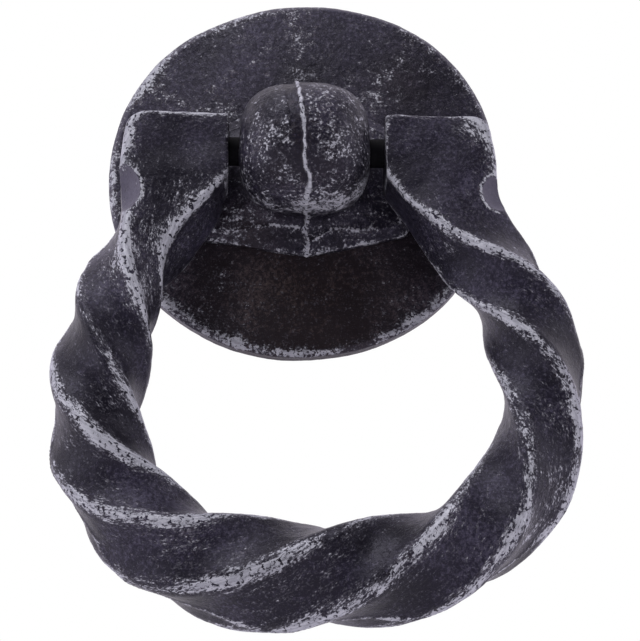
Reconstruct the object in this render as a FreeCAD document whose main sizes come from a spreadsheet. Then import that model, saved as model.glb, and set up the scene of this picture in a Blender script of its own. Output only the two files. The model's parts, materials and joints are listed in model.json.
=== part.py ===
import FreeCAD, Part
import math
import os
import Sketcher

# Ring door knocker: a round iron backplate, a cast boss that carries a steel pivot pin,
# a heavy twisted square-bar ring that swings on the pin, and the through-door fixing.
# Millimetres. The door plane is Y = 0, the front of the knocker looks along -Y, +Z is up,
# and the origin is where the fixing stud's axis meets the door.

os.makedirs("parts", exist_ok=True)
doc = FreeCAD.newDocument("ring_knocker")

# ---------------------------------------------------------------- driving dimensions
SIZES = {
    # backplate
    "plate_radius": 42.0,
    "plate_edge": 3.0,
    "plate_bevel": 1.5,
    "plate_bevel_rise": 0.8,
    "plate_crown": 5.0,
    "seat_radius": 27.0,
    "socket_side": 10.0,
    # boss: foot, flared neck and domed head
    "foot_height": 2.6,
    "foot_point": 20.0,
    "foot_corner_x": 21.5,
    "foot_corner_z": 15.0,
    "foot_tip_x": 25.0,
    "foot_tip_z": 6.0,
    "foot_top_x": 13.0,
    "foot_top_z": 13.0,
    "foot_bevel": 1.2,
    "flare_radius": 15.5,
    "neck_depth": 12.0,
    "head_radius": 14.2,
    "head_centre": 17.5,
    "cheek_half": 13.2,
    "tenon_side": 9.8,
    "tenon_setback": 0.3,
    "tenon_overlap": 0.5,
    "trim_margin": 8.0,
    # pivot pin, held fast in the boss and free in the ring
    "pivot_depth": 17.0,
    "pivot_drop": 1.8,
    "pin_radius": 3.0,
    "pin_half_length": 24.5,
    "pin_chamfer": 0.6,
    "running_gap": 0.05,
    # ring: square bar with block ends
    "bar_side_end": 12.4,
    "bar_side_hoop": 18.4,
    "bar_corner_share": 0.22,
    "block_inner_x": 16.0,
    "block_top_z": 4.4,
    "block_inner_z": -9.5,
    "block_shoulder_x": 34.0,
    "block_turn_x": 37.2,
    "block_turn_z": 0.8,
    "block_outer_x": 38.4,
    "block_outer_z": -11.0,
    "block_low_z": -18.0,
    "block_low_outer_x": 36.6,
    "block_low_inner_x": 23.5,
    "block_depth": 12.9,
    "block_edge": 1.6,
    "bore_depth": 9.6,
    # through-door fixing
    "door_thickness": 44.0,
    "stud_radius": 3.0,
    "stud_reach_in": 12.0,
    "stud_reach_out": 55.0,
    "stud_chamfer": 0.8,
    "washer_radius": 9.0,
    "washer_bore": 3.2,
    "washer_thickness": 1.6,
    "nut_across_flats": 10.0,
    "nut_height": 5.0,
}

sheet = doc.addObject("Spreadsheet::Sheet", "sizes")
for row, (word, value) in enumerate(SIZES.items(), start=1):
    sheet.set("A%d" % row, word)
    sheet.set("B%d" % row, str(value))
    sheet.setAlias("B%d" % row, word)
doc.recompute()

# Centre line of the ring in its own plane, from inside the left block, down the left arm,
# round the hand-forged hoop and up into the right block: (x, z).
RING_LINE = [
    (-23.5, -6.0), (-30.5, -19.0), (-36.3, -32.5), (-40.4, -48.0), (-38.5, -73.6),
    (-20.0, -90.8), (4.0, -92.8), (25.3, -89.4), (41.3, -76.8), (47.0, -56.0),
    (43.2, -36.4), (34.4, -19.8), (25.2, -6.0),
]

# How far the bar has been twisted, in degrees, at even steps along the centre line: nine
# quarter turns in all, tighter on the left arm than across the bottom.
TWIST_STEPS = [0, 4, 104, 207, 301, 386, 436, 521, 578, 645, 730, 806, 810]

# The bar's side at the same steps, as a share of the way from its end size to its full size:
# heaviest across the bottom left, and drawn down a little on the right arm.
FULLNESS_STEPS = [0.0, 0.05, 0.58, 0.65, 0.88, 1.0, 1.0, 0.82, 0.6, 0.42, 0.5, 0.25, 0.0]

BAR_SECTIONS = 60
LINE_END = 0.9999    # the line's very last point has no tangent to read
EDGE_MARGIN = 0.5    # how far inside an outline an edge must lie to be counted as outer


def size(word):
    """The spreadsheet's value for a driving dimension."""
    return float(sheet.get(word))


# ---------------------------------------------------------------- sketch and feature helpers
def new_body(label):
    body = doc.addObject("PartDesign::Body", label)
    body.Label = label
    return body


def origin_plane(body, role):
    return next(f for f in body.Origin.OriginFeatures if f.Role == role)


def sketch_on(body, name, role, lift="0"):
    """A sketch on one of the body's origin planes, lifted along the plane's normal."""
    sketch = body.newObject("Sketcher::SketchObject", name)
    sketch.AttachmentSupport = [(origin_plane(body, role), "")]
    sketch.MapMode = "FlatFace"
    sketch.setExpression("AttachmentOffset.Base.z", lift)
    return sketch


def place_point(sketch, geometry, end, across, along):
    """Bind one point of a sketch to two expressions in the sizes sheet."""
    for kind, words in (("DistanceX", across), ("DistanceY", along)):
        index = sketch.addConstraint(
            Sketcher.Constraint(kind, -1, 1, geometry, end, 0.0))
        sketch.setExpression("Constraints[%d]" % index, words)


def number(words):
    """The value of an expression over the sizes sheet, for a sketch's first guess."""
    holder = doc.getObject("sizes")
    return float(holder.evalExpression(words.replace("sizes.", "")))


def draw_outline(sketch, corners):
    """A closed outline of straight lines; corners are pairs of expressions."""
    guess = [FreeCAD.Vector(number(a), number(b), 0) for a, b in corners]
    count = len(corners)
    lines = []
    for i in range(count):
        segment = Part.LineSegment(guess[i], guess[(i + 1) % count])
        lines.append(sketch.addGeometry(segment, False))
    for i in range(count):
        following = lines[(i + 1) % count]
        sketch.addConstraint(Sketcher.Constraint("Coincident", lines[i], 2, following, 1))
    for line, (across, along) in zip(lines, corners):
        place_point(sketch, line, 1, across, along)
    return lines


def draw_circle(sketch, across, along, radius):
    centre = FreeCAD.Vector(number(across), number(along), 0)
    up = FreeCAD.Vector(0, 0, 1)
    circle = sketch.addGeometry(Part.Circle(centre, up, number(radius)), False)
    place_point(sketch, circle, 3, across, along)
    index = sketch.addConstraint(Sketcher.Constraint("Radius", circle, number(radius)))
    sketch.setExpression("Constraints[%d]" % index, radius)


def draw_square(sketch, side):
    half = "(%s) / 2" % side
    minus = "-(%s) / 2" % side
    draw_outline(sketch, [(minus, minus), (half, minus), (half, half), (minus, half)])


def pad(body, sketch, length, name):
    feature = body.newObject("PartDesign::Pad", name)
    feature.Profile = sketch
    feature.setExpression("Length", length)
    return feature


def pocket_through(body, sketch, name):
    """Cut a sketch right through, both ways from its plane."""
    feature = body.newObject("PartDesign::Pocket", name)
    feature.Profile = sketch
    feature.Type = "ThroughAll"
    feature.Midplane = True
    return feature


def revolve(body, sketch, name):
    """Turn a sketch a full circle about its own vertical axis."""
    feature = body.newObject("PartDesign::Revolution", name)
    feature.Profile = sketch
    feature.ReferenceAxis = (sketch, ["V_Axis"])
    feature.Angle = 360.0
    return feature


def edges_where(feature, keep):
    """Names of the feature's edges whose middle point passes the test."""
    names = []
    for i, edge in enumerate(feature.Shape.Edges, start=1):
        middle = edge.valueAt((edge.FirstParameter + edge.LastParameter) / 2)
        if keep(edge, middle):
            names.append("Edge%d" % i)
    return names


def dress(body, kind, name, base, edge_names, words):
    """A fillet or chamfer on named edges of the last feature."""
    feature = body.newObject("PartDesign::" + kind, name)
    feature.Base = (base, edge_names)
    feature.setExpression("Radius" if kind == "Fillet" else "Size", words)
    return feature


# ---------------------------------------------------------------- backplate
def make_backplate():
    body = new_body("backplate")
    face = sketch_on(body, "plate_profile", "XY_Plane")
    draw_outline(face, [
        ("0", "0"),
        ("sizes.plate_radius", "0"),
        ("sizes.plate_radius", "-sizes.plate_edge"),
        ("sizes.plate_radius - sizes.plate_bevel", "-sizes.plate_edge - sizes.plate_bevel_rise"),
        ("sizes.seat_radius", "-sizes.plate_crown"),
        ("0", "-sizes.plate_crown"),
    ])
    revolve(body, face, "plate_disc")
    socket = sketch_on(body, "tenon_socket", "XZ_Plane")
    draw_square(socket, "sizes.socket_side")
    pocket_through(body, socket, "tenon_socket_cut")
    return body


# ---------------------------------------------------------------- boss
def draw_head_profile(sketch):
    """Half section of the boss from its seat to the front of the head."""
    radius = size("head_radius")
    centre = FreeCAD.Vector(0, -size("head_centre"), 0)
    neck_angle = math.asin((size("head_centre") - size("neck_depth")) / radius)
    neck = centre + FreeCAD.Vector(radius * math.cos(neck_angle), radius * math.sin(neck_angle), 0)
    pole = centre + FreeCAD.Vector(0, -radius, 0)
    seat = FreeCAD.Vector(0, -size("plate_crown"), 0)
    heel = FreeCAD.Vector(size("flare_radius"), seat.y, 0)
    flare = FreeCAD.Vector(heel.x, seat.y - size("foot_height"), 0)
    floor, side, slope, axis = sketch.addGeometry([
        Part.LineSegment(seat, heel), Part.LineSegment(heel, flare),
        Part.LineSegment(flare, neck), Part.LineSegment(pole, seat)], False)
    circle = Part.Circle(centre, FreeCAD.Vector(0, 0, 1), radius)
    head = sketch.addGeometry(Part.ArcOfCircle(circle, -math.pi / 2, neck_angle), False)
    for first, second in ((floor, side), (side, slope), (axis, floor)):
        sketch.addConstraint(Sketcher.Constraint("Coincident", first, 2, second, 1))
    sketch.addConstraint(Sketcher.Constraint("Coincident", slope, 2, head, 2))
    sketch.addConstraint(Sketcher.Constraint("Coincident", head, 1, axis, 1))
    sketch.addConstraint(Sketcher.Constraint("PointOnObject", head, 1, -2))
    place_point(sketch, floor, 1, "0", "-sizes.plate_crown")
    place_point(sketch, side, 1, "sizes.flare_radius", "-sizes.plate_crown")
    place_point(sketch, slope, 1, "sizes.flare_radius", "-sizes.plate_crown - sizes.foot_height")
    place_point(sketch, head, 3, "0", "-sizes.head_centre")
    index = sketch.addConstraint(Sketcher.Constraint("Radius", head, radius))
    sketch.setExpression("Constraints[%d]" % index, "sizes.head_radius")
    index = sketch.addConstraint(Sketcher.Constraint("DistanceY", -1, 1, slope, 2, neck.y))
    sketch.setExpression("Constraints[%d]" % index, "-sizes.neck_depth")


def make_boss():
    body = new_body("boss")
    foot = sketch_on(body, "foot_outline", "XZ_Plane", "sizes.plate_crown")
    right = [
        ("0", "-sizes.foot_point"),
        ("sizes.foot_corner_x", "-sizes.foot_corner_z"),
        ("sizes.foot_tip_x", "-sizes.foot_tip_z"),
        ("sizes.foot_tip_x", "sizes.foot_tip_z"),
        ("sizes.foot_top_x", "sizes.foot_top_z"),
    ]
    left = [("-" + across, along) for across, along in reversed(right[1:])]
    draw_outline(foot, right + left)
    foot_pad = pad(body, foot, "sizes.foot_height", "foot")
    doc.recompute()
    front = -size("plate_crown") - size("foot_height")
    rim = edges_where(foot_pad, lambda edge, middle: abs(middle.y - front) < 0.01)
    dress(body, "Chamfer", "foot_bevel_cut", foot_pad, rim, "sizes.foot_bevel")

    profile = sketch_on(body, "head_profile", "XY_Plane")
    draw_head_profile(profile)
    revolve(body, profile, "head")

    # The head is squarer than a ball: its cheeks and crown are flattened.
    cheeks = sketch_on(body, "cheek_outline", "XZ_Plane", "sizes.neck_depth")
    draw_square(cheeks, "2 * sizes.head_radius + sizes.trim_margin")
    draw_square(cheeks, "2 * sizes.cheek_half")
    trim = body.newObject("PartDesign::Pocket", "cheek_cut")
    trim.Profile = cheeks
    trim.Type = "ThroughAll"
    trim.Reversed = True

    tenon = sketch_on(body, "tenon_outline", "XZ_Plane", "sizes.tenon_setback")
    draw_square(tenon, "sizes.tenon_side")
    pad(body, tenon, "sizes.plate_crown - sizes.tenon_setback + sizes.tenon_overlap", "tenon")

    bore = sketch_on(body, "pin_bore", "YZ_Plane")
    draw_circle(bore, "-sizes.pivot_depth", "-sizes.pivot_drop", "sizes.pin_radius")
    pocket_through(body, bore, "pin_bore_cut")

    tapping = sketch_on(body, "stud_bore", "XZ_Plane")
    draw_circle(tapping, "0", "0", "sizes.stud_radius")
    drill = body.newObject("PartDesign::Pocket", "stud_bore_cut")
    drill.Profile = tapping
    drill.Reversed = True
    drill.setExpression("Length", "sizes.stud_reach_in")
    return body


# ---------------------------------------------------------------- ring
def between_steps(steps, fraction):
    """A value read off a list of even steps, at a fraction of the centre line's length."""
    place = fraction * (len(steps) - 1)
    i = min(int(place), len(steps) - 2)
    return steps[i] + (place - i) * (steps[i + 1] - steps[i])


def draw_rounded_square(sketch, side_words):
    """A square with rounded corners, its side and corner radius bound to the sheet."""
    half = number(side_words) / 2
    radius = number("sizes.bar_corner_share") * 2 * half
    inner = half - radius
    for quarter in range(4):
        turn = FreeCAD.Rotation(FreeCAD.Vector(0, 0, 1), 90.0 * quarter)
        line = Part.LineSegment(turn.multVec(FreeCAD.Vector(half, -inner, 0)),
                                turn.multVec(FreeCAD.Vector(half, inner, 0)))
        centre = turn.multVec(FreeCAD.Vector(inner, inner, 0))
        begin = math.radians(90.0 * quarter)
        circle = Part.Circle(centre, FreeCAD.Vector(0, 0, 1), radius)
        arc = Part.ArcOfCircle(circle, begin, begin + math.pi / 2)
        sketch.addGeometry([line, arc], False)
    for quarter in range(4):
        line, arc, following = 2 * quarter, 2 * quarter + 1, (2 * quarter + 2) % 8
        sketch.addConstraint(Sketcher.Constraint("Tangent", line, 2, arc, 1))
        sketch.addConstraint(Sketcher.Constraint("Tangent", arc, 2, following, 1))
    for arc in (3, 5, 7):
        sketch.addConstraint(Sketcher.Constraint("Equal", 1, arc))
    sketch.addConstraint(Sketcher.Constraint("Vertical", 0))
    sketch.addConstraint(Sketcher.Constraint("Equal", 0, 2))
    sketch.addConstraint(Sketcher.Constraint("Symmetric", 0, 1, 4, 1, -1, 1))
    index = sketch.addConstraint(
        Sketcher.Constraint("DistanceX", 4, 1, 0, 1, 2 * half))
    sketch.setExpression("Constraints[%d]" % index, side_words)
    index = sketch.addConstraint(Sketcher.Constraint("Radius", 1, radius))
    sketch.setExpression("Constraints[%d]" % index,
                         "sizes.bar_corner_share * (%s)" % side_words)


def make_bar():
    """The twisted bar: a loft through rounded squares that turn along the centre line."""
    body = new_body("twisted_bar")
    plane_y = -size("pivot_depth")
    line = Part.BSplineCurve()
    line.interpolate([FreeCAD.Vector(x, plane_y, z) for x, z in RING_LINE])
    length = line.length()
    sections = []
    for i in range(BAR_SECTIONS + 1):
        fraction = i / BAR_SECTIONS
        parameter = line.parameterAtDistance(min(fraction, LINE_END) * length)
        along = FreeCAD.Vector(*line.tangent(parameter)[0])
        backward = FreeCAD.Vector(0, 1, 0)
        outward = backward.cross(along)
        frame = FreeCAD.Rotation(outward, backward, along, "ZXY")
        twist = between_steps(TWIST_STEPS, fraction)
        turned = frame.multiply(FreeCAD.Rotation(FreeCAD.Vector(0, 0, 1), -twist))
        fullness = between_steps(FULLNESS_STEPS, fraction)
        side_words = ("sizes.bar_side_end + %.3f * (sizes.bar_side_hoop - sizes.bar_side_end)"
                      % fullness)
        sketch = body.newObject("Sketcher::SketchObject", "bar_section_%02d" % i)
        sketch.AttachmentSupport = [(origin_plane(body, "XY_Plane"), "")]
        sketch.MapMode = "FlatFace"
        sketch.AttachmentOffset = FreeCAD.Placement(line.value(parameter), turned)
        draw_rounded_square(sketch, side_words)
        sections.append(sketch)
    loft = body.newObject("PartDesign::AdditiveLoft", "bar_loft")
    loft.Profile = sections[0]
    loft.Sections = sections[1:]
    return body


def make_block():
    """The left end of the ring: a flat-topped block that the twisted bar grows out of."""
    body = new_body("left_block")
    front_words = "sizes.pivot_depth - sizes.block_depth / 2"
    outline = sketch_on(body, "block_outline", "XZ_Plane", front_words)
    draw_outline(outline, [
        ("-sizes.block_inner_x", "sizes.block_top_z"),
        ("-sizes.block_shoulder_x", "sizes.block_top_z"),
        ("-sizes.block_turn_x", "sizes.block_turn_z"),
        ("-sizes.block_outer_x", "sizes.block_outer_z"),
        ("-sizes.block_low_outer_x", "sizes.block_low_z"),
        ("-sizes.block_low_inner_x", "sizes.block_low_z"),
        ("-sizes.block_inner_x", "sizes.block_inner_z"),
    ])
    solid = pad(body, outline, "sizes.block_depth", "block")
    doc.recompute()
    inner = -size("block_inner_x")
    low = size("block_low_z")

    def on_outer_rim(edge, middle):
        flat = abs(edge.valueAt(edge.FirstParameter).y - edge.valueAt(edge.LastParameter).y) < 0.01
        return flat and middle.x < inner - EDGE_MARGIN and middle.z > low + EDGE_MARGIN and not (
            middle.x > -size("block_low_inner_x") and middle.z < 0)

    dress(body, "Fillet", "block_edges", solid, edges_where(solid, on_outer_rim),
          "sizes.block_edge")
    return body


def make_ring():
    bar = make_bar()
    left = make_block()
    right = doc.addObject("Part::Mirroring", "right_block")
    right.Source = left
    right.Normal = FreeCAD.Vector(1, 0, 0)
    whole = doc.addObject("Part::MultiFuse", "ring_blank")
    whole.Shapes = [bar, left, right]
    bores = []
    for side, turn in (("left", -90.0), ("right", 90.0)):
        bore = doc.addObject("Part::Cylinder", side + "_pin_bore")
        bore.setExpression("Radius", "sizes.pin_radius + sizes.running_gap")
        bore.setExpression("Height", "sizes.block_inner_x + sizes.bore_depth")
        bore.Placement.Rotation = FreeCAD.Rotation(FreeCAD.Vector(0, 1, 0), turn)
        bore.setExpression("Placement.Base.y", "-sizes.pivot_depth")
        bore.setExpression("Placement.Base.z", "-sizes.pivot_drop")
        bores.append(bore)
    both = doc.addObject("Part::Fuse", "pin_bores")
    both.Base, both.Tool = bores
    ring = doc.addObject("Part::Cut", "ring")
    ring.Base = whole
    ring.Tool = both
    ring.Label = "ring"
    return ring


# ---------------------------------------------------------------- turned and bought pieces
def make_pin():
    body = new_body("pivot_pin")
    profile = sketch_on(body, "pin_circle", "YZ_Plane", "-sizes.pin_half_length")
    draw_circle(profile, "-sizes.pivot_depth", "-sizes.pivot_drop", "sizes.pin_radius")
    rod = pad(body, profile, "2 * sizes.pin_half_length", "pin_rod")
    doc.recompute()
    ends = edges_where(rod, lambda edge, middle: edge.Closed)
    dress(body, "Chamfer", "pin_ends", rod, ends, "sizes.pin_chamfer")
    return body


def make_stud():
    body = new_body("fixing_stud")
    profile = sketch_on(body, "stud_circle", "XZ_Plane", "-sizes.stud_reach_out")
    draw_circle(profile, "0", "0", "sizes.stud_radius")
    rod = pad(body, profile, "sizes.stud_reach_out + sizes.stud_reach_in", "stud_rod")
    doc.recompute()
    ends = edges_where(rod, lambda edge, middle: edge.Closed)
    dress(body, "Chamfer", "stud_ends", rod, ends, "sizes.stud_chamfer")
    return body


def make_washer():
    body = new_body("washer")
    far = "-sizes.door_thickness - sizes.washer_thickness"
    profile = sketch_on(body, "washer_circles", "XZ_Plane", far)
    draw_circle(profile, "0", "0", "sizes.washer_radius")
    draw_circle(profile, "0", "0", "sizes.washer_bore")
    pad(body, profile, "sizes.washer_thickness", "washer_disc")
    return body


def make_nut():
    body = new_body("nut")
    far = "-sizes.door_thickness - sizes.washer_thickness - sizes.nut_height"
    profile = sketch_on(body, "nut_outline", "XZ_Plane", far)
    corner = "sizes.nut_across_flats / sqrt(3)"
    flat = "sizes.nut_across_flats / 2"
    draw_outline(profile, [
        (corner, "0"), (corner + " / 2", flat), ("-" + corner + " / 2", flat),
        ("-" + corner, "0"), ("-" + corner + " / 2", "-" + flat), (corner + " / 2", "-" + flat),
    ])
    draw_circle(profile, "0", "0", "sizes.stud_radius")
    pad(body, profile, "sizes.nut_height", "nut_body")
    return body


# ---------------------------------------------------------------- build, check and write
pieces = [
    make_backplate(),
    make_boss(),
    make_pin(),
    make_ring(),
    make_stud(),
    make_washer(),
    make_nut(),
]
doc.recompute()

for thing in doc.Objects:
    if "Invalid" in thing.State or "Error" in thing.State:
        raise RuntimeError("%s failed: %s" % (thing.Label, thing.State))

for piece in pieces:
    shape = piece.Shape
    if shape.isNull() or not shape.isValid() or len(shape.Solids) != 1:
        raise RuntimeError("%s is not one valid solid" % piece.Label)
    shape.exportStep(os.path.join("parts", piece.Label + ".step"))
    print("%-12s %10.1f mm3  %s" % (piece.Label, shape.Volume, shape.BoundBox))
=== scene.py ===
import json
import math

import bmesh
import bpy
import numpy as np
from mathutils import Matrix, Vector


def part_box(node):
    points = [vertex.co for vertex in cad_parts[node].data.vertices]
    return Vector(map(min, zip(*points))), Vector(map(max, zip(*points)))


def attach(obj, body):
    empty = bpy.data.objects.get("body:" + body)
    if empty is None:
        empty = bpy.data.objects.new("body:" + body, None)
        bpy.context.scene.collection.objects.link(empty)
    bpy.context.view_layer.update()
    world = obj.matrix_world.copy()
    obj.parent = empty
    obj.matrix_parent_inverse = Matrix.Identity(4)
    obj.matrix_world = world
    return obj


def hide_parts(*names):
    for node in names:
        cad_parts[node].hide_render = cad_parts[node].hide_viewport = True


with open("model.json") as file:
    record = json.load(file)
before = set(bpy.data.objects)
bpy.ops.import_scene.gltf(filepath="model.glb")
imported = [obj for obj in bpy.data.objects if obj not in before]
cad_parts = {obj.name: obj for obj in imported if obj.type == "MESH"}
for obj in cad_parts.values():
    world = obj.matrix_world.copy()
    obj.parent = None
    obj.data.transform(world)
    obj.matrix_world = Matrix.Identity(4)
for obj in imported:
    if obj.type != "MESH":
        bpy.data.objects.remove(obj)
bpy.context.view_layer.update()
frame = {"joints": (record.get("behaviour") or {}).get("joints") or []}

# A black-iron ring knocker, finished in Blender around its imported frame. All shapes are worked
# out in millimetres in the frame's own axes (+Z up, -Y towards the visitor) and turned into
# metres when a mesh is made.
MM = 0.001

FORWARD = np.array([0.0, -1.0, 0.0])


def box_mm(node):
    low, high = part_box(node)
    return np.array(low) / MM, np.array(high) / MM


# ---------------------------------------------------------------- places taken from the frame
swing = next(joint for joint in frame["joints"] if joint["name"] == "ring_swing")
PIVOT = np.array(swing["pos_m"]) / MM
PLATE_LOW, PLATE_HIGH = box_mm("backplate")
BOSS_LOW, BOSS_HIGH = box_mm("boss")
RING_LOW, RING_HIGH = box_mm("ring")
PIN_LOW, PIN_HIGH = box_mm("pivot_pin")
STUD_LOW, STUD_HIGH = box_mm("fixing_stud")
WASHER_LOW, WASHER_HIGH = box_mm("washer")
NUT_LOW, NUT_HIGH = box_mm("nut")
PIN_RADIUS = (PIN_HIGH[2] - PIN_LOW[2]) / 2
STUD_RADIUS = (STUD_HIGH[2] - STUD_LOW[2]) / 2


# ---------------------------------------------------------------- mesh helpers
def smooth_step(low, high, value):
    """0 at low, 1 at high, with an easy start and finish; high may be below low."""
    t = np.clip((np.asarray(value, float) - low) / (high - low), 0.0, 1.0)
    return t * t * (3.0 - 2.0 * t)


def soft_max(a, b, softness):
    """The larger of two values, with the corner between them rounded off."""
    h = np.clip(0.5 + 0.5 * (a - b) / softness, 0.0, 1.0)
    return b + (a - b) * h + softness * h * (1.0 - h)


def running_length(points):
    """The length along a line of points, up to each of them."""
    return np.concatenate([[0], np.cumsum(np.linalg.norm(np.diff(points, axis=0), axis=1))])


def ripple(seed, *fields, count=5, size=1.0):
    """A gentle irregular wave over one or more coordinates, between about -1 and 1."""
    draw = np.random.default_rng(seed)
    total = 0.0
    for _ in range(count):
        phase = draw.uniform(0.0, 2.0 * math.pi)
        for field in fields:
            phase = phase + field * draw.normal(0.0, 1.0) / size
        total = total + np.sin(phase)
    return total / count ** 0.5 / 1.4


def make_object(name, points, faces, layers):
    """A mesh object from points in millimetres; layers are one number per point."""
    mesh = bpy.data.meshes.new(name)
    mesh.from_pydata((np.asarray(points) * MM).tolist(), [], faces)
    for layer, values in layers.items():
        attribute = mesh.attributes.new(layer, "FLOAT", "POINT")
        attribute.data.foreach_set("value", np.asarray(values, np.float32))
    thing = bpy.data.objects.new(name, mesh)
    bpy.context.scene.collection.objects.link(thing)
    work = bmesh.new()
    work.from_mesh(mesh)
    bmesh.ops.recalc_face_normals(work, faces=work.faces)
    work.to_mesh(mesh)
    work.free()
    mesh.polygons.foreach_set("use_smooth", [True] * len(mesh.polygons))
    mesh.update()
    return thing


def band(here, there, across):
    """Four-sided faces between two rings of points, whose first points have these numbers."""
    faces = []
    for i in range(across):
        j = (i + 1) % across
        faces.append((here + i, here + j, there + j, there + i))
    return faces


def skin(name, rings, first_pole, last_pole, layers):
    """A closed surface over rings of points, with a single point closing each end."""
    rings = np.asarray(rings, float)
    rows, across = rings.shape[:2]
    points = np.vstack([rings.reshape(-1, 3), [first_pole], [last_pole]])
    faces = []
    for row in range(rows - 1):
        faces += band(row * across, (row + 1) * across, across)
    first, last = rows * across, rows * across + 1
    for i in range(across):
        j = (i + 1) % across
        faces.append((first, j, i))
        faces.append((last, (rows - 1) * across + i, (rows - 1) * across + j))
    full = {}
    for layer, values in layers.items():
        flat = np.asarray(values, float).reshape(-1)
        full[layer] = np.concatenate([flat, [flat[:across].mean(), flat[-across:].mean()]])
    return make_object(name, points, faces, full)


# ---------------------------------------------------------------- ring: centre line and sections
# The hoop's centre line between the feet of the two arms: (x, z).
HOOP_LINE = [
    (-36.2, -32.1), (-40.35, -48.0), (-38.8, -72.1), (-20.3, -90.3), (4.0, -92.8),
    (25.3, -89.2), (41.3, -76.2), (46.9, -55.9), (42.3, -35.3),
]
# Degrees the bar has turned at even steps along the hoop; two arms, nine quarter turns.
HOOP_TWIST = [2, 98, 196, 288, 372, 430, 507, 568, 630, 712, 796]
FULL_TWIST = 810.0
# Half the bar's side at the same steps: heaviest across the bottom left.
BAR_HALF_STEPS = [6.3, 7.9, 8.1, 8.6, 9.15, 9.15, 8.7, 8.1, 7.3, 7.8, 7.1]
ARM_HALF = {"left": 6.2, "right": 7.0}
BLOCK_HALF_DEPTH = 6.35
BLOCK_CORNER = (16.0, -9.5)
BLOCK_TOP = RING_HIGH[2]
FAN_DROP = 4.0
ARM_START = 20.0
ARM_LEAN = {"left": 33.0, "right": 36.0}
BLOCK_OUTER = {"left": 38.5, "right": 39.0}
CORNER_TURN = 3.2
STATION_STEP = 0.46
FLAT_STEPS = 26
ARC_STEPS = 11
FACE_EASE = 0.9
# The left arm's inner flank was hammered to a slope. Along the bar from its end, in millimetres:
# how far the front of the flank is drawn out and how far its back is pushed in.
FLANK_RUN = [10.0, 16.0, 20.0, 28.0, 36.0, 44.0, 54.0]
FLANK_DRAWN = [0.0, 0.4, 1.0, 1.9, 2.5, 1.7, 0.0]
FLANK_PUSHED = [0.0, 1.6, 2.0, 2.2, 1.9, 1.1, 0.0]
# Corner radii: on the blocks, on the arms, and on the hoop as a share of half its side.
ARRIS = {"outer": 3.4, "inner": 1.0, "back": 1.6, "top": 0.9}
ARM_ARRIS = 2.0
HOOP_ARRIS_SHARE = 0.43
# How many stations each quantity is averaged over, and how far a joint's easing spreads.
TWIST_BLUR, HALF_BLUR, JOINT_BLUR = 41, 61, 41
JOINT_SPREAD = 16.0
FINE_TURN = math.radians(3.2)
BORE_GAP = 0.12
BORE_SPARE = 0.9
RAY_STEPS = np.arange(2.0, 40.0, 0.02)


def cubic_through(points, start, end, count):
    """Points and unit tangents, evenly spaced, on a cubic spline with given end tangents."""
    p = np.asarray(points, float)
    gap = np.linalg.norm(np.diff(p, axis=0), axis=1)
    n = len(p)
    matrix, right = np.zeros((n, n)), np.zeros((n, p.shape[1]))
    matrix[0, 0] = matrix[-1, -1] = 1.0
    right[0], right[-1] = start, end
    for i in range(1, n - 1):
        matrix[i, i - 1:i + 2] = [1 / gap[i - 1], 2 / gap[i - 1] + 2 / gap[i], 1 / gap[i]]
        right[i] = 3 * ((p[i] - p[i - 1]) / gap[i - 1] ** 2 + (p[i + 1] - p[i]) / gap[i] ** 2)
    slope = np.linalg.solve(matrix, right)
    dense = []
    for i in range(n - 1):
        t = np.linspace(0, 1, 200, endpoint=i == n - 2)[:, None]
        dense.append((2 * t ** 3 - 3 * t ** 2 + 1) * p[i] + (t ** 3 - 2 * t ** 2 + t) * gap[i] * slope[i]
                     + (3 * t ** 2 - 2 * t ** 3) * p[i + 1] + (t ** 3 - t ** 2) * gap[i] * slope[i + 1])
    dense = np.vstack(dense)
    run = running_length(dense)
    even = np.linspace(0, run[-1], count)
    line = np.stack([np.interp(even, run, dense[:, k]) for k in range(2)], axis=1)
    tangent = np.gradient(line, axis=0)
    tangent /= np.linalg.norm(tangent, axis=1)[:, None]
    return line, tangent, run[-1]


def blurred(values, width):
    """The values averaged over a sliding window, with the ends held."""
    kernel = np.hanning(width + 2)[1:-1]
    kernel /= kernel.sum()
    padded = np.pad(values, (width // 2, width - 1 - width // 2), mode="edge")
    return np.convolve(padded, kernel, mode="valid")


def block_reach(origin, direction, outer):
    """How far a ray goes inside the block's rounded front outline (left block, x negative)."""
    t = RAY_STEPS
    x = origin[0] + direction[0] * t
    z = origin[1] + direction[1] * t
    drawn_in_above = 0.012 * np.clip(z + 9.0, 0.0, None) ** 2
    drawn_in_below = 0.028 * np.clip(-10.0 - z, 0.0, 9.0) ** 2
    side = outer - drawn_in_above - drawn_in_below
    beyond_side = -x - (side - CORNER_TURN)
    beyond_top = z - (BLOCK_TOP - CORNER_TURN)
    corner = np.hypot(np.clip(beyond_side, 0, None), np.clip(beyond_top, 0, None))
    distance = corner + np.minimum(np.maximum(beyond_side, beyond_top), 0.0) - CORNER_TURN
    return t[distance < 0.0][-1]


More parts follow.
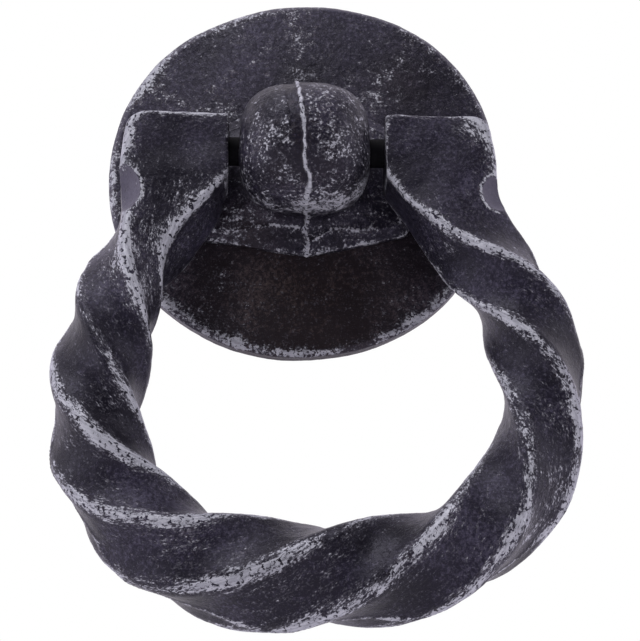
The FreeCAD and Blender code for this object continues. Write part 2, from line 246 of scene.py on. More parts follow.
def block_stations(side):
    """Sections of one end block, from its inner face to the foot of the arm, as a left block."""
    lean = math.radians(ARM_LEAN[side])
    down = np.array([-math.sin(lean), -math.cos(lean)])
    across = np.array([-math.cos(lean), math.sin(lean)])
    corner = np.array([-BLOCK_CORNER[0], BLOCK_CORNER[1]])
    pivot = corner - [0.0, FAN_DROP]
    fan_end = math.pi / 2 - lean
    turns = np.concatenate([np.linspace(0.0, FINE_TURN, 11)[:-1], np.linspace(FINE_TURN, fan_end, 46)])
    stations = []
    for turn in turns:
        ray = np.array([-math.sin(turn), math.cos(turn)])
        edge_side = np.array([-ray[1], ray[0]])
        along_edge = np.dot(corner - pivot, across) / max(np.dot(ray, across), 1e-6)
        inner = FAN_DROP if turn == 0.0 else min(FAN_DROP / math.cos(turn), along_edge)
        reach = block_reach(pivot, ray, BLOCK_OUTER[side])
        stations.append((pivot + ray * (inner + reach) / 2, ray, (reach - inner) / 2, 0.0))
    first = np.dot(pivot - corner, down)
    for down_by in np.arange(first, ARM_START, STATION_STEP)[1:]:
        inner = corner + down * down_by
        reach = block_reach(inner, across, BLOCK_OUTER[side])
        width = float(soft_max(reach, 2 * ARM_HALF[side], 0.7))
        stations.append((inner + across * width / 2, across, width / 2,
                         min(down_by / ARM_START, 1.0)))
    return stations


def arris_reach(radius):
    """How far rubbing spreads from the middle of an arris: further on a blunt one."""
    return 1.3 + 0.62 * radius


def section(half_a, half_b, radii):
    """One rounded rectangle: its points, and how close each lies to an arris."""
    points, edge = [], []
    for k in range(4):
        before, after = radii[k - 1], radii[k]
        turn = math.radians(90.0 * k)
        reach = half_a if k % 2 == 0 else half_b
        span = half_b if k % 2 == 0 else half_a
        flat = np.linspace(-(span - before), span - after, FLAT_STEPS, endpoint=False)
        along = np.full(FLAT_STEPS, reach)
        arc = math.pi / 2 * np.arange(ARC_STEPS) / ARC_STEPS
        arc_u = reach - after + after * np.cos(arc)
        arc_v = span - after + after * np.sin(arc)
        u = np.concatenate([along, arc_u])
        v = np.concatenate([flat, arc_v])
        points.append(np.stack([u * math.cos(turn) - v * math.sin(turn),
                                u * math.sin(turn) + v * math.cos(turn)], axis=1))
        from_before = flat + (span - before) + before * math.pi / 4
        from_after = (span - after) - flat + after * math.pi / 4
        edge.append(np.maximum(1.0 - from_before / arris_reach(before),
                               1.0 - from_after / arris_reach(after)))
        edge.append(1.0 - np.abs(arc - math.pi / 4) * after / arris_reach(after))
    return np.vstack(points), np.clip(np.concatenate(edge), 0.0, 1.0)


def ring_stations():
    """Every section of the ring: centre, outward, half sizes, corner radii and twist."""
    left, right = block_stations("left"), block_stations("right")
    lean_l, lean_r = math.radians(ARM_LEAN["left"]), math.radians(ARM_LEAN["right"])
    start = (-math.sin(lean_l), -math.cos(lean_l))
    end = (-math.sin(lean_r), math.cos(lean_r))
    line_points = [left[-1][0], *HOOP_LINE, right[-1][0] * [-1.0, 1.0]]
    _, _, length = cubic_through(line_points, start, end, 50)
    count = int(length / STATION_STEP)
    line, tangent, length = cubic_through(line_points, start, end, count)
    share = np.linspace(0, 1, count)
    twist = blurred(np.interp(share, np.linspace(0, 1, len(HOOP_TWIST)), HOOP_TWIST), TWIST_BLUR)
    half = blurred(np.interp(share, np.linspace(0, 1, len(BAR_HALF_STEPS)), BAR_HALF_STEPS), HALF_BLUR)
    out = []
    block_radii = np.array([ARRIS["outer"], ARRIS["inner"], ARRIS["back"], ARRIS["back"]])

    def block_entry(item, side):
        centre, ray, half_width, gone = item
        fade = smooth_step(0.25, 1.0, gone)
        sharp_top = 1.0 - smooth_step(0.55, 0.75, math.atan2(-ray[0], ray[1]) / (math.pi / 2))
        radii = block_radii.copy()
        radii[0] += sharp_top * (ARRIS["top"] - radii[0])
        radii[3] += sharp_top * (ARRIS["top"] - radii[3])
        radii += fade * (ARM_ARRIS - radii)
        half_depth = BLOCK_HALF_DEPTH + fade * (ARM_HALF[side] - BLOCK_HALF_DEPTH)
        if side == "left":
            return centre, ray, half_width, half_depth, radii, HOOP_TWIST[0] * fade
        mirrored = np.array([-1.0, 1.0])
        turned = FULL_TWIST - (FULL_TWIST - HOOP_TWIST[-1]) * fade
        return (centre * mirrored, ray * mirrored, half_depth, half_width,
                radii[[1, 2, 3, 0]], turned)

    for item in left:
        out.append(block_entry(item, "left"))
    for i in range(count):
        outward = np.array([tangent[i][1], -tangent[i][0]])
        full = smooth_step(0.0, 0.18, min(share[i], 1 - share[i]))
        radius = ARM_ARRIS + (HOOP_ARRIS_SHARE * half[i] - ARM_ARRIS) * full
        out.append((line[i], outward, half[i], half[i], np.full(4, radius), twist[i]))
    for item in reversed(right):
        out.append(block_entry(item, "right"))
    return ease_joints(out, (len(left), len(left) + count))


def ease_joints(stations, joints):
    """Blends the stations where an arm meets the hoop, so that nothing steps there."""
    table = np.array([[*s[0], *s[1], s[2], s[3], *s[4], s[5]] for s in stations])
    smooth = np.stack([blurred(column, JOINT_BLUR) for column in table.T], axis=1)
    index = np.arange(len(table))
    for joint in joints:
        weight = np.exp(-((index - joint) / JOINT_SPREAD) ** 2)[:, None]
        table = table + (smooth - table) * np.minimum(weight * 1.15, 1.0)
    return [(r[0:2], r[2:4] / np.linalg.norm(r[2:4]), r[4], r[5], r[6:10], r[10]) for r in table]


def place_section(station):
    """A section before the bar is twisted, and how far round from outward each point ends up."""
    centre, outward, half_a, half_b, radii, twist = station
    points, edge = section(half_a, half_b, radii)
    placed = np.zeros((len(points), 3))
    placed[:, 0] = centre[0] + outward[0] * points[:, 0]
    placed[:, 2] = centre[1] + outward[1] * points[:, 0]
    placed[:, 1] = PIVOT[1] - points[:, 1]
    swept = np.arctan2(points[:, 1], points[:, 0]) + math.radians(twist)
    outness = (swept + math.pi) % (2 * math.pi) - math.pi
    return placed, edge, outness, points


def sloped_flank(stations, local, outward, runs):
    """How far each point moves to slope the left arm's inner flank."""
    half_a = np.array([s[2] for s in stations])[:, None]
    half_b = np.array([s[3] for s in stations])[:, None]
    drawn = np.interp(runs, FLANK_RUN, FLANK_DRAWN)[:, None]
    pushed = np.interp(runs, FLANK_RUN, FLANK_PUSHED)[:, None]
    inner = smooth_step(0.3, -0.9, local[..., 0] / half_a)
    front = smooth_step(-0.7, 0.9, local[..., 1] / half_b)
    shift = inner * (front * drawn - (1 - front) * pushed)
    return shift[..., None] * outward[:, None, :]


def bevel_inner_face(ring_points, centre, radius):
    """Draw in the outline close to a block's inner face, so that the face has an eased arris."""
    away = np.abs(ring_points[:, 0]) - BLOCK_CORNER[0]
    inset = radius - np.sqrt(np.clip(radius ** 2 - np.clip(radius - away, 0, radius) ** 2, 0, None))
    arm = ring_points - centre
    reach = np.linalg.norm(arm, axis=1)[:, None]
    return centre + arm * (1.0 - inset[:, None] / reach)


def scoop(points, centre, radii):
    """Press an ellipsoid into a surface: points inside it move out to its skin."""
    arm = (points - centre) / radii
    reach = np.linalg.norm(arm, axis=-1, keepdims=True)
    return np.where(reach < 1.0, centre + arm / np.maximum(reach, 1e-6) * radii, points)


def end_rings(outline, sign):
    """Rings from the bottom of a pin bore, out of its mouth and across the inner face."""
    face_x = sign * BLOCK_CORNER[0]
    middle = np.array([face_x, PIVOT[1], PIVOT[2]])
    arm = outline - middle
    arm[:, 0] = 0.0
    circle = arm / np.linalg.norm(arm, axis=1)[:, None] * (PIN_RADIUS + BORE_GAP)
    depth = abs(PIN_HIGH[0]) - BLOCK_CORNER[0] + BORE_SPARE
    rings = []
    for share in (1.0, 0.75, 0.5, 0.25, 0.05):
        rings.append(middle + circle + np.array([sign * depth * share, 0.0, 0.0]))
    for share in (0.0, 0.06, 0.3, 0.6, 0.85):
        ring_row = middle + circle * (1 - share) + arm * share
        rings.append(ring_row)
    pole = middle + np.array([sign * depth, 0.0, 0.0])
    return rings, pole


def make_ring():
    """The ring as a bar that isn't twisted yet; a Geometry Nodes tree twists and dents it."""
    stations = ring_stations()
    centres = np.array([[s[0][0], PIVOT[1], s[0][1]] for s in stations])
    outward = np.array([[s[1][0], 0.0, s[1][1]] for s in stations])
    turned = np.array([s[5] for s in stations]) / FULL_TWIST
    runs = running_length(centres)
    rows, edges, outs, local = (np.array(part) for part in zip(*map(place_section, stations)))
    rows = rows + sloped_flank(stations, local, outward, runs)
    from_end = np.minimum(runs, runs[-1] - runs)[:, None]
    for i in np.flatnonzero(from_end[:, 0] < FACE_EASE + 12.0):
        rows[i] = bevel_inner_face(rows[i], centres[i], FACE_EASE)
    face_edge = np.clip(1.0 - np.abs(np.abs(rows[..., 0]) - BLOCK_CORNER[0]) / 1.5, 0.0, 1.0)
    edges = np.maximum(edges, 0.75 * face_edge * (from_end < 8.0))
    seam = np.exp(-(np.abs(outs) * 9.0 / 0.45) ** 2) * smooth_step(20, 34, from_end)

    first_rings, first_pole = end_rings(rows[0], -1.0)
    untwisted_end = rows[-1]
    last_rings, last_pole = end_rings(turned_about(untwisted_end, centres[-1], outward[-1]), 1.0)
    last_rings = [turned_about(r, centres[-1], outward[-1], -1.0) for r in last_rings]
    last_pole = turned_about(last_pole[None], centres[-1], outward[-1], -1.0)[0]
    plain = np.zeros((len(first_rings), rows.shape[1]))
    across = rows.shape[1]

    def with_ends(values, first, last):
        body = np.asarray(values, float)
        if body.ndim == 1:
            body = np.repeat(body[:, None], across, axis=1)
        return np.concatenate([plain + first, body, plain + last])

    layers = {
        "arris": with_ends(edges, 0.0, 0.0),
        "seam": with_ends(seam, 0.0, 0.0),
        "turned": with_ends(turned, turned[0], turned[-1]),
        "run": with_ends(runs * MM, 0.0, runs[-1] * MM),
        "local_a": with_ends(local[..., 0] * MM, 0.0, 0.0),
        "local_b": with_ends(local[..., 1] * MM, 0.0, 0.0),
        "heart_x": with_ends(centres[:, 0] * MM, centres[0, 0] * MM, centres[-1, 0] * MM),
        "heart_z": with_ends(centres[:, 2] * MM, centres[0, 2] * MM, centres[-1, 2] * MM),
        "outward_x": with_ends(outward[:, 0], outward[0, 0], outward[-1, 0]),
        "outward_z": with_ends(outward[:, 2], outward[0, 2], outward[-1, 2]),
    }
    all_rows = np.concatenate([first_rings, rows, last_rings[::-1]])
    return skin("ring_forged", all_rows, first_pole, last_pole, layers)


def turned_about(points, centre, outward, sign=1.0):
    """Points turned by the bar's full twist about its centre line."""
    axis = np.cross(outward, FORWARD)
    angle = sign * math.radians(FULL_TWIST)
    arm = points - centre
    across = np.cross(axis, arm)
    along = (arm @ axis)[:, None] * axis
    return centre + arm * math.cos(angle) + across * math.sin(angle) + along * (1 - math.cos(angle))


# ---------------------------------------------------------------- boss
FOOT_OUTLINE = [(0.3, -20.2), (21.4, -15.2), (25.0, -6.0), (25.0, 6.0), (13.0, 13.0),
                (-13.0, 13.0), (-25.0, 6.0), (-25.0, -6.0), (-21.4, -16.8)]
TENON_HALF = 4.9
SOCKET_HALF = 5.0
FOOT_EDGE_DEPTH = 5.6
FOOT_FRONT_DEPTH = 7.6
NECK_DEPTH = 11.4
NECK_HALF = (12.4, 11.8)
NECK_POWER = 2.3
HEAD_CENTRE = 18.0
HEAD_SHIFT = (-0.5, -1.6)
HEAD_HALF = (13.6, 13.2)
# The mould's seam, as (z, x), and the smooth strip dressed along its left side.
SEAM_LINE = [(-21, 0.4), (-16.8, 0.4), (-15.7, -0.4), (-14.2, 0.1), (-13.5, 0.4), (-11.9, 0.45),
             (-10.8, -0.55), (-9.6, -0.7), (-6.5, -0.65), (-1.9, -0.95), (3.7, -1.6), (9.0, -2.2),
             (14, -2.8)]
AROUND = 340
# How far the head stops short of the frame's boss, and how deep the foot sits on the dome.
HEAD_SHORT = 0.15
FOOT_BEDDED = 0.6
TENON_EASE = 0.25


def polygon_radius(corners, angles):
    """Distance from the middle to a convex outline, along each angle."""
    corners = np.asarray(corners, float)
    rays = np.stack([np.cos(angles), np.sin(angles)], axis=1)
    best = np.full(len(angles), 1e9)
    for i in range(len(corners)):
        a, b = corners[i], corners[(i + 1) % len(corners)]
        normal = np.array([b[1] - a[1], a[0] - b[0]])
        normal = normal / np.linalg.norm(normal)
        if np.dot(normal, a) < 0:
            normal = -normal
        facing = rays @ normal
        with np.errstate(divide="ignore", invalid="ignore"):
            reach = np.where(facing > 1e-6, np.dot(normal, a) / facing, 1e9)
        best = np.minimum(best, reach)
    return best


def square_radius(half, angles, rounding=0.25):
    """Distance from the middle to a square with slightly eased corners, along each angle."""
    side = np.minimum(half / np.maximum(np.abs(np.cos(angles)), 1e-9),
                      half / np.maximum(np.abs(np.sin(angles)), 1e-9))
    return np.minimum(side, half * math.sqrt(2) - rounding)


def foot_bevel(x, z):
    """Width of the foot's sloping edge: the two halves of the mould didn't agree on it."""
    left = 2.4 + 3.0 * smooth_step(-21.0, -7.0, x)
    right = 2.5 + 1.7 * np.exp(-((x - 8.0) / 4.5) ** 2)
    width = left + (right - left) * smooth_step(0.1, 0.7, x)
    return np.where(z < 0, width, 3.2)


def make_boss():
    angles = np.linspace(0, 2 * math.pi, AROUND, endpoint=False)
    foot = blurred(np.tile(polygon_radius(FOOT_OUTLINE, angles), 3), 5)[AROUND:2 * AROUND]
    cos, sin = np.cos(angles), np.sin(angles)
    lower = smooth_step(0.1, 0.5, -sin)

    def squircle(half_x, half_z, power):
        return (np.abs(cos / half_x) ** power + np.abs(sin / half_z) ** power) ** (-1 / power)

    front = abs(BOSS_LOW[1]) - HEAD_SHORT
    neck = squircle(*NECK_HALF, NECK_POWER)
    bevel = foot_bevel(foot * cos, foot * sin)
    rows, arris = [], []

    def add(radius, depth, edge, shift=0.0):
        rows.append(np.stack([radius * cos + HEAD_SHIFT[0] * shift, np.zeros(AROUND) - depth,
                              radius * sin + HEAD_SHIFT[1] * shift], axis=1))
        arris.append(np.zeros(AROUND) + edge)

    back = PLATE_HIGH[1] - PLATE_LOW[1] - FOOT_BEDDED
    tenon, tenon_end = square_radius(TENON_HALF, angles), abs(BOSS_HIGH[1])
    for share in np.linspace(0.3, 0.95, 6):
        add(tenon * share, tenon_end, 0.0)
    add(tenon, tenon_end + TENON_EASE, 0.0)
    for share in np.linspace(0.1, 1.0, 6):
        add(tenon, tenon_end + TENON_EASE + (back - TENON_EASE - tenon_end) * share, 0.0)
    for share in np.linspace(0.1, 1.0, 8):
        add(tenon + (foot - tenon) * share, back, 0.0)
    worn_edge = 0.2 + 0.42 * lower
    for depth in np.linspace(back + 0.25, FOOT_EDGE_DEPTH - 0.2, 5):
        add(foot, depth, 0.25 * lower)
    add(foot - 0.12, FOOT_EDGE_DEPTH, worn_edge)
    for share in np.linspace(0.05, 0.95, 18):
        depth = FOOT_EDGE_DEPTH + share * (FOOT_FRONT_DEPTH - FOOT_EDGE_DEPTH)
        near = np.maximum(1.0 - share * bevel / 1.1, 0.9 - (1 - share) * bevel / 1.1)
        add(foot - bevel * share, depth, np.clip(near, 0, 1) * worn_edge)
    add(foot - bevel, FOOT_FRONT_DEPTH, worn_edge)
    for share in np.linspace(0.03, 1.0, 26):
        inward = math.sin(share * math.pi / 2)
        depth = FOOT_FRONT_DEPTH + (NECK_DEPTH - FOOT_FRONT_DEPTH) * (1 - math.cos(share * math.pi / 2))
        radius = (foot - bevel) + (neck - (foot - bevel)) * inward
        add(np.maximum(radius, neck), depth, max(0.9 - share * 6.0, 0.0) * worn_edge, share)
    flat_power = 2.25
    reach = front - HEAD_CENTRE
    start = math.asin(min((HEAD_CENTRE - NECK_DEPTH) / reach, 1.0))
    for tilt in np.linspace(-start * 0.94, math.pi / 2 * 0.992, 100):
        depth = HEAD_CENTRE + reach * math.copysign(abs(math.sin(tilt)) ** (2 / flat_power), tilt)
        round_share = abs(math.cos(tilt)) ** (2 / flat_power)
        power = 2.2 + 0.9 * round_share
        ball = squircle(*HEAD_HALF, power) * round_share
        blend = smooth_step(NECK_DEPTH - 0.2, NECK_DEPTH + 1.6, depth)
        turned_under = math.exp(-((math.degrees(tilt) + 4.0) / 13.0) ** 2)
        add(neck + (ball - neck) * blend, depth, 0.55 * turned_under * (0.25 + 0.75 * lower), 1.0)
    rows, arris = np.array(rows), np.array(arris)

    x, y, z = rows[..., 0], rows[..., 1], rows[..., 2]
    line_z, line_x = zip(*SEAM_LINE)
    from_line = x - np.interp(z, line_z, line_x) - 0.1 * np.sin(z * 2.3)
    on_front = smooth_step(FOOT_EDGE_DEPTH - 1.0, FOOT_EDGE_DEPTH, -y)
    half_width = 0.45 + 0.14 * smooth_step(-10.0, -12.0, z)
    hidden = np.exp(-((z + 15.7) / 0.7) ** 2)
    seam = np.exp(-(from_line / half_width) ** 4) * on_front * (1 - 0.8 * hidden)
    on_head = smooth_step(-14.5, -12.5, z)
    strip = smooth_step(-3.1, -2.5, from_line) * smooth_step(-0.3, -0.6, from_line) * on_head
    strip *= 1.0 - 0.6 * smooth_step(-4.0, -8.0, z) * smooth_step(-1.6, -2.2, from_line)
    thin = smooth_step(0.35, 0.55, from_line) * smooth_step(1.5, 1.0, from_line) * on_head * 0.8
    outward = rows - np.array([0.0, -HEAD_CENTRE * 0.9, 0.0])
    outward /= np.linalg.norm(outward, axis=2, keepdims=True)
    proud = 0.34 * seam - 0.20 * strip + 0.16 * smooth_step(-0.3, 0.3, from_line) * on_front
    rows = rows + outward * proud[..., None]
    rows[..., 1] = np.maximum(rows[..., 1], BOSS_LOW[1])
    layers = {"arris": arris, "seam": seam, "strip": np.maximum(strip, thin) * on_front}
    first_pole = np.array([0.0, -tenon_end, 0.0])
    return skin("boss_cast", rows, first_pole, rows[-1].mean(axis=0), layers)


# ---------------------------------------------------------------- backplate
# Directions, in degrees, in which the hammered face falls away, and how steep each facet is.
FACETS = [(28, 1.0), (80, 1.0), (112, 1.03), (180, 0.97), (214, 1.0), (262, 1.05), (318, 1.0)]
# The outline was dished out by hand: its radius every 45 degrees from the right-hand side.
PLATE_OUTLINE = [41.0, 42.75, 41.75, 41.7, 41.7, 42.6, 41.8, 41.2]
PLATE_ROWS = 120
PLATE_AROUND = 560
RIM_HEIGHT = 3.1
CROWN_SHORT = 0.15
BACK_EASE = 0.5


def plate_height(radius, angle):
    """Height of the front face: broad flats that fall away from the boss, with soft ridges."""
    crown = PLATE_HIGH[1] - PLATE_LOW[1] - CROWN_SHORT
    full = PLATE_HIGH[0]
    steep = []
    for degrees, slope in FACETS:
        steep.append(slope * np.cos(angle - math.radians(degrees)))
    steep = np.array(steep)
    ordered = np.sort(steep, axis=0)
    first, second = ordered[-1], ordered[-2]
    fall = soft_max(first, second, 0.05)
    outer = np.clip((radius - 10.0) / (full - 10.0), 0.0, 1.0)
    height = crown - (crown - RIM_HEIGHT) * (0.45 * outer + 0.55 * outer ** 2) * (0.55 + 0.45 * fall)
    ridge = np.exp(-((first - second) / 0.045) ** 2)
    unworn = np.exp(-((np.degrees(angle) - 290.0) / 25.0) ** 2)
    return height, ridge * smooth_step(0.2, 0.5, outer) * (1 - unworn)


def between_eighths(values, angles):
    """A smooth closed run through eight values, one every 45 degrees."""
    waves = np.fft.rfft(values) / len(values)
    total = np.full(len(angles), waves[0].real)
    for k in range(1, len(waves)):
        share = 1.0 if k == len(values) / 2 else 2.0
        total += share * (waves[k].real * np.cos(k * angles) - waves[k].imag * np.sin(k * angles))
    return total


def make_backplate():
    angles = np.linspace(0, 2 * math.pi, PLATE_AROUND, endpoint=False)
    wobble = 0.12 * ripple(3, np.cos(angles), np.sin(angles), size=0.35)
    edge_radius = between_eighths(PLATE_OUTLINE, angles) + wobble
    rows, arris, sheen = [], [], []

    # The last number of each row is painted sheen: how far its black is lifted to a lighter purple-grey.
    def add(radius, height, edge, smooth=0.0):
        rows.append(np.stack([radius * np.cos(angles), -height, radius * np.sin(angles)], axis=1))
        arris.append(edge)
        sheen.append(np.zeros(PLATE_AROUND) + smooth)

    none = np.zeros(PLATE_AROUND)
    hole = square_radius(SOCKET_HALF, angles)
    left_side = smooth_step(0.1, -0.9, np.cos(angles))
    rim_wear = 0.58 + 0.24 * left_side + 0.36 * smooth_step(-0.4, -0.9, np.sin(angles))
    for share in np.linspace(0.0, 1.0, 26):
        add(hole + (edge_radius - 1.0 - hole) * share, none, none)
    rim_height, _ = plate_height(edge_radius, angles)
    bevel = 1.3 + 0.25 * ripple(11, np.cos(angles), np.sin(angles), size=0.5)
    for turn in np.linspace(0, math.pi / 2, 5):
        low = np.full(PLATE_AROUND, BACK_EASE - BACK_EASE * math.cos(turn))
        add(edge_radius - BACK_EASE + BACK_EASE * math.sin(turn), low, none)
    wall_top = rim_height - 0.75
    # The rim's side wall and outer bevel carry that painted sheen.
    for share in np.linspace(0.1, 1.0, 9):
        add(edge_radius, BACK_EASE + (wall_top - BACK_EASE) * share, 0.5 * share ** 3 * rim_wear, 0.9)
    for share in np.linspace(0.12, 1.0, 9):
        inward = edge_radius - bevel * share
        height, _ = plate_height(inward, angles)
        add(inward, wall_top + (height - wall_top) * (1 - (1 - share) ** 1.6), rim_wear, 0.9 - 0.7 * share)
    for share in np.linspace(0, 1, PLATE_ROWS)[1:]:
        radius = (edge_radius - bevel) * (1 - share) + hole * share
        height, ridge = plate_height(radius, angles)
        near_rim = np.exp(-(edge_radius - bevel - radius) / 0.8) * rim_wear
        add(radius, height, np.clip(near_rim + 0.42 * ridge, 0, 1))
    rows.append(rows[0].copy())
    arris.append(none)
    sheen.append(none)
    return skin_loop("backplate_forged", np.array(rows), {"arris": arris, "painted_sheen": sheen})


def skin_loop(name, rows, layers):
    """A closed surface whose last row meets its first, such as a plate with a hole."""
    rows = rows[:-1]
    count, across = rows.shape[:2]
    faces = []
    for row in range(count):
        faces += band(row * across, (row + 1) % count * across, across)
    flat = {label: np.asarray(values)[:-1].reshape(-1) for label, values in layers.items()}
    return make_object(name, rows.reshape(-1, 3), faces, flat)


# ---------------------------------------------------------------- fasteners and pin
def lathe_rows(profile, around, centre, axis):
    """Rings of points about an axis through centre; the profile is (radius, place along)."""
    angles = np.linspace(0, 2 * math.pi, around, endpoint=False)
    rows = []
    for radius, place in profile:
        ring_row = np.zeros((around, 3))
        others = [k for k in range(3) if k != axis]
        ring_row[:, others[0]] = centre[others[0]] + radius * np.cos(angles)
        ring_row[:, others[1]] = centre[others[1]] + radius * np.sin(angles)
        ring_row[:, axis] = place
        rows.append(ring_row)
    return np.array(rows)


PIN_BEVEL = 0.6


def make_pin():
    radius, bevel = PIN_RADIUS, PIN_BEVEL
    low, high = PIN_LOW[0], PIN_HIGH[0]
    profile = [(0.4 * radius, low), (radius - bevel, low), (radius, low + bevel)]
    profile += [(radius, x) for x in np.linspace(low + 1.0, high - 1.0, 40)]
    profile += [(radius, high - bevel), (radius - bevel, high), (0.4 * radius, high)]
    rows = lathe_rows(profile, 72, PIVOT, 0)
    return skin("pivot_pin_turned", rows, np.array([low, PIVOT[1], PIVOT[2]]),
                np.array([high, PIVOT[1], PIVOT[2]]), {})


THREAD_PITCH = 1.0
THREAD_DEPTH = 0.55


def make_stud():
    """A plain rod with eased ends; the thread is cut into it by its own tree."""
    around, per_turn = 48, 8
    low, high = STUD_LOW[1], STUD_HIGH[1]
    angles = np.linspace(0, 2 * math.pi, around, endpoint=False)
    rows = []
    for place in np.arange(low, high + 1e-6, THREAD_PITCH / per_turn):
        radius = STUD_RADIUS * (0.8 + 0.2 * np.clip(min(place - low, high - place) / 0.9, 0, 1))
        rows.append(np.stack([radius * np.cos(angles), np.full(around, place),
                              radius * np.sin(angles)], axis=1))
    turn = np.tile(angles / (2 * math.pi), (len(rows), 1))
    return skin("fixing_stud_threaded", rows, np.array([0, low, 0.0]), np.array([0, high, 0.0]),
                {"turn": turn})


def make_washer():
    low, high = WASHER_LOW[1], WASHER_HIGH[1]
    outer, inner, ease = WASHER_HIGH[0], STUD_RADIUS + 0.2, 0.25
    profile = [(inner, low + ease), (inner + ease, low)]
    profile += [(r, low) for r in np.linspace(inner + 1.0, outer - 1.0, 6)]
    profile += [(outer - ease, low), (outer, low + ease), (outer, high - ease), (outer - ease, high)]
    profile += [(r, high) for r in np.linspace(outer - 1.0, inner + 1.0, 6)]
    profile += [(inner + ease, high), (inner, high - ease), (inner, low + ease)]
    rows = lathe_rows(profile, 120, np.zeros(3), 1)
    return skin_loop("washer_plain", rows, {})


def make_nut():
    low, high = NUT_LOW[1], NUT_HIGH[1]
    flat_half = NUT_HIGH[2]
    around = 144
    angles = np.linspace(0, 2 * math.pi, around, endpoint=False)
    hexagon = flat_half / np.cos((angles % (math.pi / 3)) - math.pi / 6)
    bore = STUD_RADIUS - 0.05
    countersink = 0.5
    face = 0.985 * flat_half
    rows = []

    def add(radius, place):
        rows.append(np.stack([radius * np.cos(angles), np.full(around, place) if np.isscalar(place)
                              else place, radius * np.sin(angles)], axis=1))

    crown_drop = np.clip((hexagon - face) * 0.55, 0, None)
    mouth = bore + countersink
    add(np.full(around, bore), low + countersink)
    add(np.full(around, mouth), low)
    for share in (0.3, 0.7, 1.0):
        add(np.full(around, mouth + (face - mouth) * share), low)
    add(hexagon, low + crown_drop)
    for share in (0.25, 0.5, 0.75):
        add(hexagon, low + (high - low) * share)
    add(hexagon, high - crown_drop)
    for share in (1.0, 0.7, 0.3):
        add(np.full(around, mouth + (face - mouth) * share), high)
    add(np.full(around, mouth), high)
    add(np.full(around, bore), high - countersink)
    rows.append(rows[0].copy())
    thing = skin_loop("nut_hex", np.array(rows), {})
    thing.data.polygons.foreach_set("use_smooth", [False] * len(thing.data.polygons))
    return thing


# ---------------------------------------------------------------- node helpers
def add_node(tree, kind, inputs=None, **settings):
    made = tree.nodes.new(kind)
    for key, value in settings.items():
        setattr(made, key, value)
    for key, value in (inputs or {}).items():
        if isinstance(value, bpy.types.NodeSocket):
            tree.links.new(value, made.inputs[key])
        else:
            made.inputs[key].default_value = value
    return made


def math_node(tree, operation, *values, clamp=False):
    kind = "ShaderNodeMath"
    made = add_node(tree, kind, dict(enumerate(values)), operation=operation, use_clamp=clamp)
    return made.outputs[0]


def arithmetic(tree):
    """Short words for the sums of a node tree: add, times, minus and larger."""
    def word(operation):
        return lambda *values, **settings: math_node(tree, operation, *values, **settings)
    return word("ADD"), word("MULTIPLY"), word("SUBTRACT"), word("MAXIMUM")


def noise_node(tree, vector, scale, detail, roughness=0.5):
    """The value of a noise texture; its scale is in waves per metre."""
    made = add_node(tree, "ShaderNodeTexNoise", {
        "Vector": vector, "Scale": scale, "Detail": detail, "Roughness": roughness})
    return made.outputs["Fac"]


def remap(tree, value, low, high, to_low=0.0, to_high=1.0, kind="LINEAR"):
    """A value moved from one range to another and held at both ends."""
    made = add_node(tree, "ShaderNodeMapRange", {
        "Value": value, "From Min": low, "From Max": high, "To Min": to_low, "To Max": to_high},
        interpolation_type=kind)
    return made.outputs["Result"]


def new_tree(name, kind, inputs, outputs):
    """An empty node tree with its named sockets; inputs are (name, socket type, value)."""
    tree = bpy.data.node_groups.new(name, kind)
    for label, socket_type, value in inputs:
        socket = tree.interface.new_socket(name=label, in_out="INPUT", socket_type=socket_type)
        if value is not None:
            socket.default_value = value
    for label, socket_type in outputs:
        tree.interface.new_socket(name=label, in_out="OUTPUT", socket_type=socket_type)
    return tree, tree.nodes.new("NodeGroupInput").outputs, tree.nodes.new("NodeGroupOutput").inputs


FLOAT, VECTOR = "NodeSocketFloat", "NodeSocketVector"
GEOMETRY, MATERIAL = "NodeSocketGeometry", "NodeSocketMaterial"


# ---------------------------------------------------------------- Geometry Nodes trees
def named_float(tree, label):
    return add_node(tree, "GeometryNodeInputNamedAttribute", {"Name": label},
                    data_type="FLOAT").outputs["Attribute"]


def new_geometry_tree(name, settings):
    """A tree that takes a mesh, some numbers and a material, and gives a mesh back."""
    numbers = [(label, FLOAT, value) for label, value in settings.items()]
    return new_tree(name, "GeometryNodeTree",
                    [("Geometry", GEOMETRY, None), *numbers, ("Material", MATERIAL, None)],
                    [("Geometry", GEOMETRY)])


def move_points(tree, inputs, outputs, **places):
    """Moves the mesh's points, and leaves it real and in its material."""
    moved = add_node(tree, "GeometryNodeSetPosition", {"Geometry": inputs["Geometry"], **places})
    real = add_node(tree, "GeometryNodeRealizeInstances", {"Geometry": moved.outputs[0]})
    painted = add_node(tree, "GeometryNodeSetMaterial",
                       {"Geometry": real.outputs[0], "Material": inputs["Material"]})
    tree.links.new(painted.outputs[0], outputs["Geometry"])


